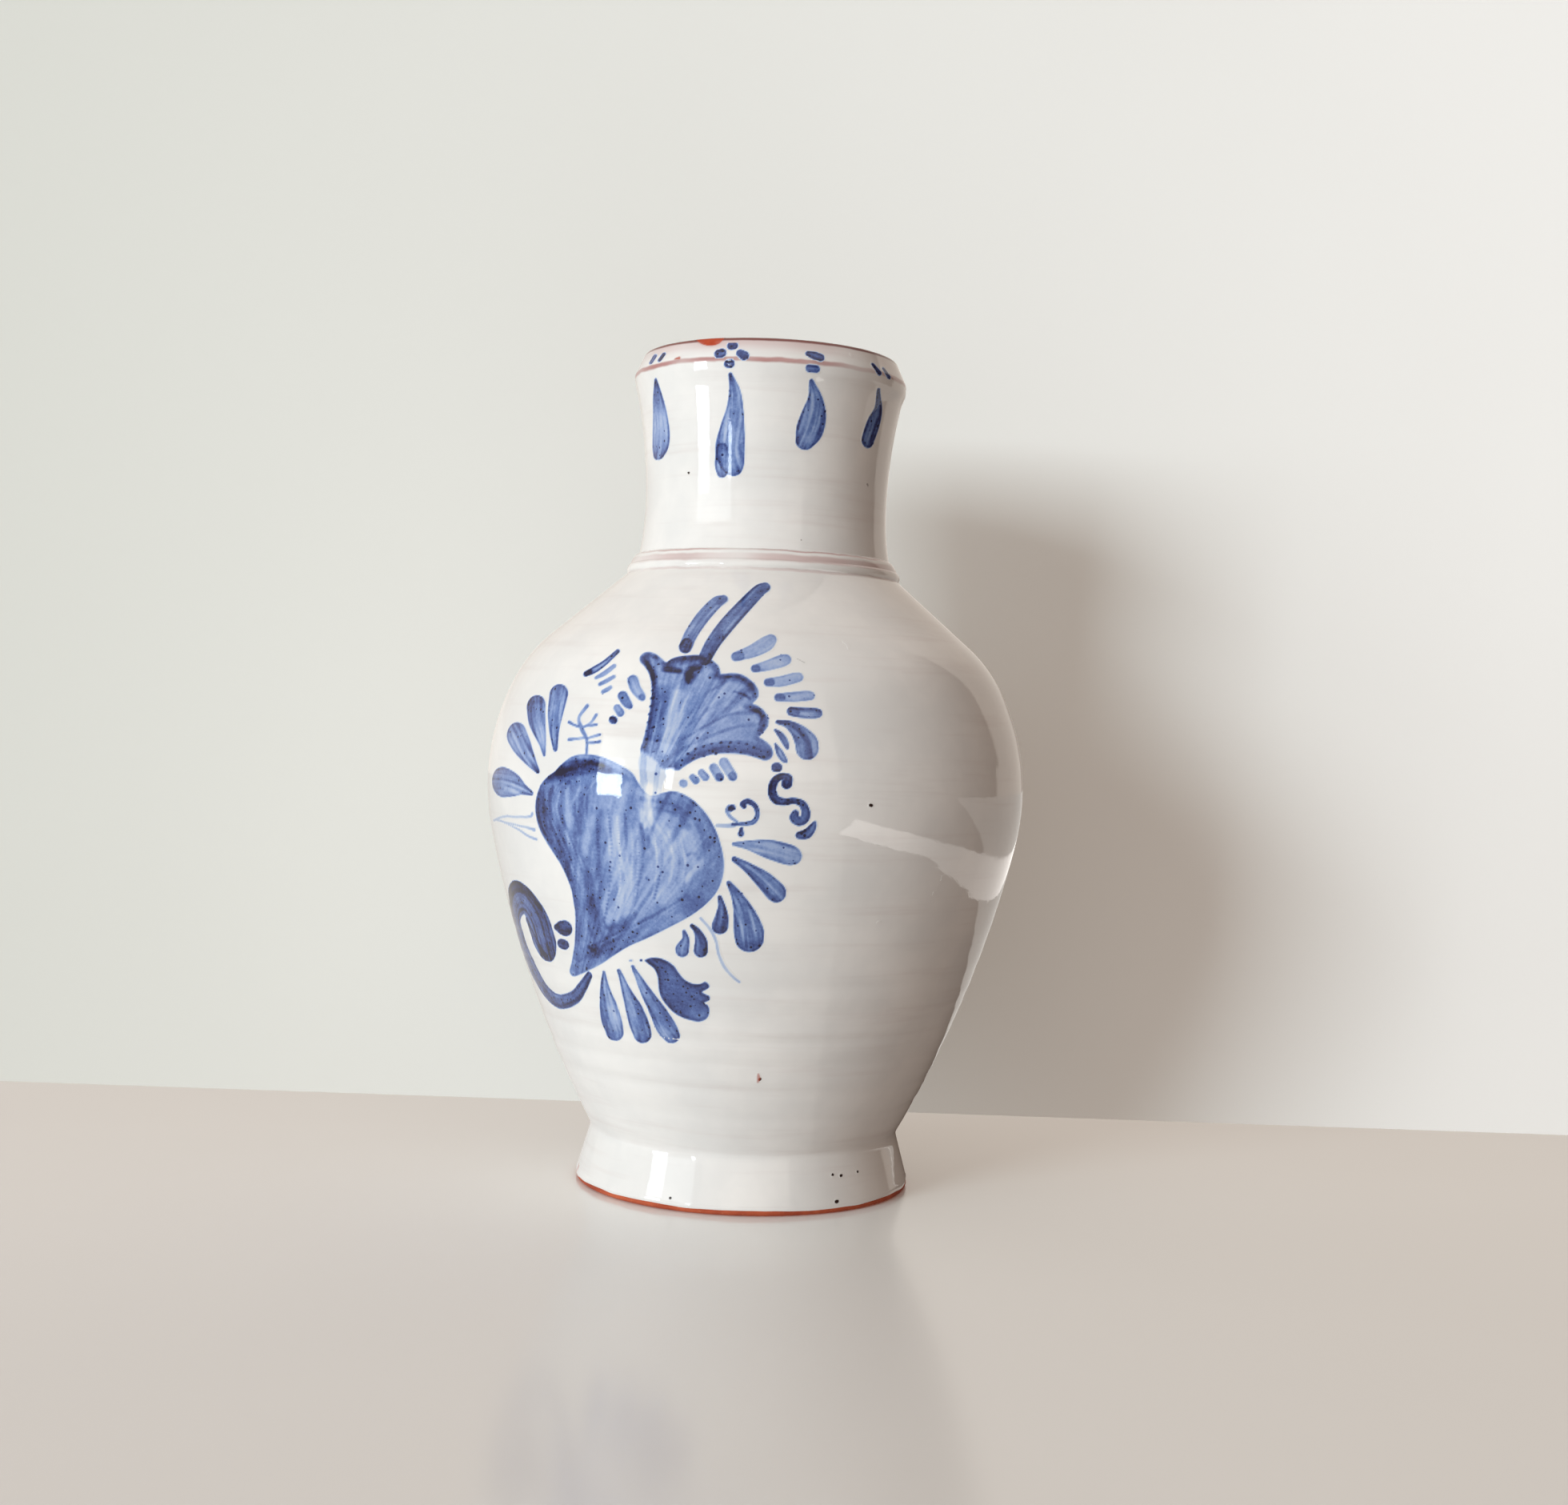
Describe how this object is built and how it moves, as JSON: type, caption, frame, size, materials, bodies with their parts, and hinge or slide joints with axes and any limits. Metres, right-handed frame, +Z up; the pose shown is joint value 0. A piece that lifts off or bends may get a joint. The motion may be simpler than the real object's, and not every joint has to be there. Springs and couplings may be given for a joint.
{
  "type": "wheel-thrown jar",
  "caption": "Open-mouthed baluster jar of wheel-thrown terracotta with a flared foot, a cordon under the neck and a bevelled rim, in white tin glaze.",
  "frame": {"origin": "centre of the foot, on the surface that the jar stands on", "axes": "+Z up along the jar's axis of revolution, out of its mouth; +X to the viewer's right and +Y away from the viewer who faces the painted heart"},
  "size_m": [0.1952, 0.1952, 0.3],
  "materials": {
    "terracotta": "matt fired red clay",
    "tin_glaze": "glossy off-white tin glaze with cobalt painting"
  },
  "bodies": {
    "root": {"foot_ring": "terracotta", "base_floor": "terracotta", "lower_body": "terracotta", "belly": "terracotta", "shoulder": "terracotta", "neck_cordon": "terracotta", "neck": "terracotta", "rim_collar": "terracotta", "outer_glaze": "tin_glaze", "inner_glaze": "tin_glaze"}
  },
  "joints": []
}
